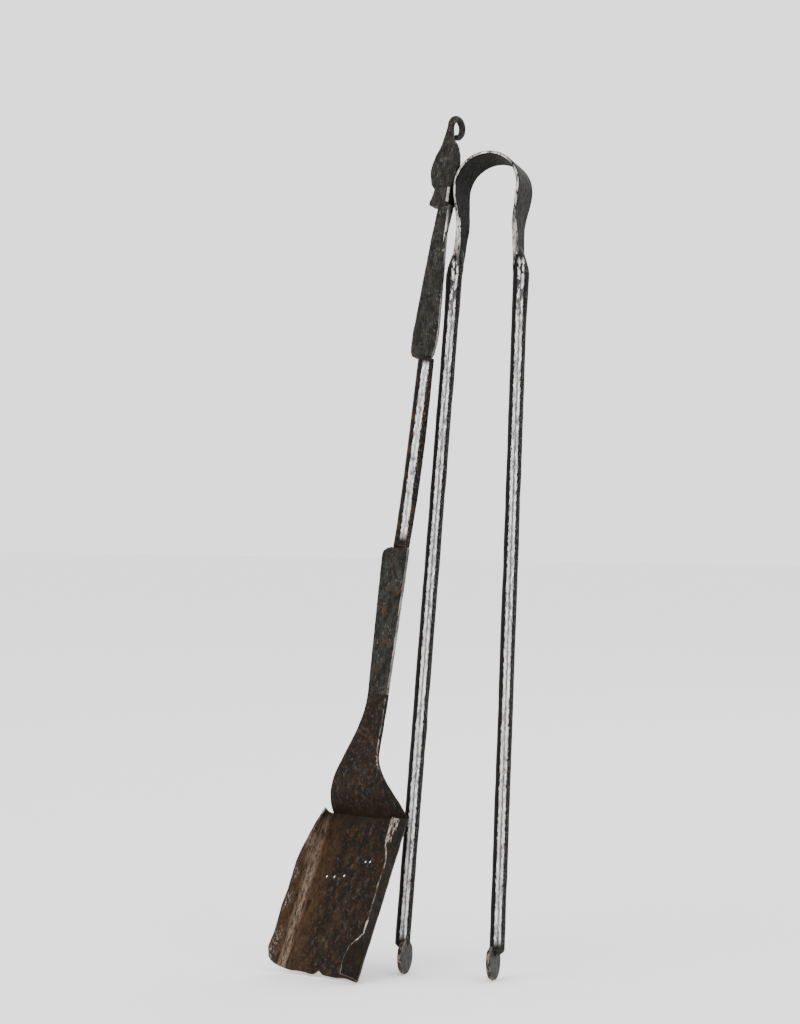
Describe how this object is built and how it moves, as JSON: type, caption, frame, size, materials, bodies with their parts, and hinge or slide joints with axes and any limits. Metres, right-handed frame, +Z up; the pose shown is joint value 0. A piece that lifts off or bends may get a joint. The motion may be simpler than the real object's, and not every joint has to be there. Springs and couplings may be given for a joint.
{
  "type": "fireplace tool set",
  "caption": "Hand-forged iron fire shovel with a looped handle beside bow-topped spring tongs for a fireplace, both leaning back",
  "frame": {"origin": "Middle of the set's bounding box at floor level, where the shovel and both feet of the tongs stand.", "axes": "+Z up, -Y towards the room (both tools lean back towards +Y), +X to the right, from the shovel to the tongs."},
  "size_m": [0.1938, 0.2178, 0.7165],
  "materials": {
    "forged_iron": "satin",
    "worn_iron": "satin",
    "rusty_iron": "matte"
  },
  "bodies": {
    "bow": {"bow_crown": "forged_iron"},
    "left_arm": {"left_bow_cheek": "forged_iron", "left_leg": "worn_iron", "left_foot": "forged_iron"},
    "right_arm": {"right_bow_cheek": "forged_iron", "right_leg": "worn_iron", "right_foot": "forged_iron"},
    "shovel": {"hanging_eye": "forged_iron", "leaf_finial": "forged_iron", "neck_collar": "forged_iron", "grip_blade": "forged_iron", "shank_rod": "worn_iron", "lower_blade": "forged_iron", "fan_throat": "rusty_iron", "pan": "rusty_iron"}
  },
  "joints": [
    {"name": "left_arm_flex", "type": "hinge", "parent": "bow", "child": "left_arm", "pos_m": [0.01711, 0.0783, 0.63766], "axis": [0, -0.982, 0.1891], "range_deg": [0, 3.1], "stiffness_Nm_per_rad": 200},
    {"name": "right_arm_flex", "type": "hinge", "parent": "bow", "child": "right_arm", "pos_m": [0.07167, 0.0783, 0.63766], "axis": [0, 0.982, -0.1891], "range_deg": [0, 3.1], "stiffness_Nm_per_rad": 200},
    {"name": "shovel_lift_away", "type": "slide", "parent": "bow", "child": "shovel", "axis": [-1, 0, 0], "range_m": [0, 0.25]}
  ]
}
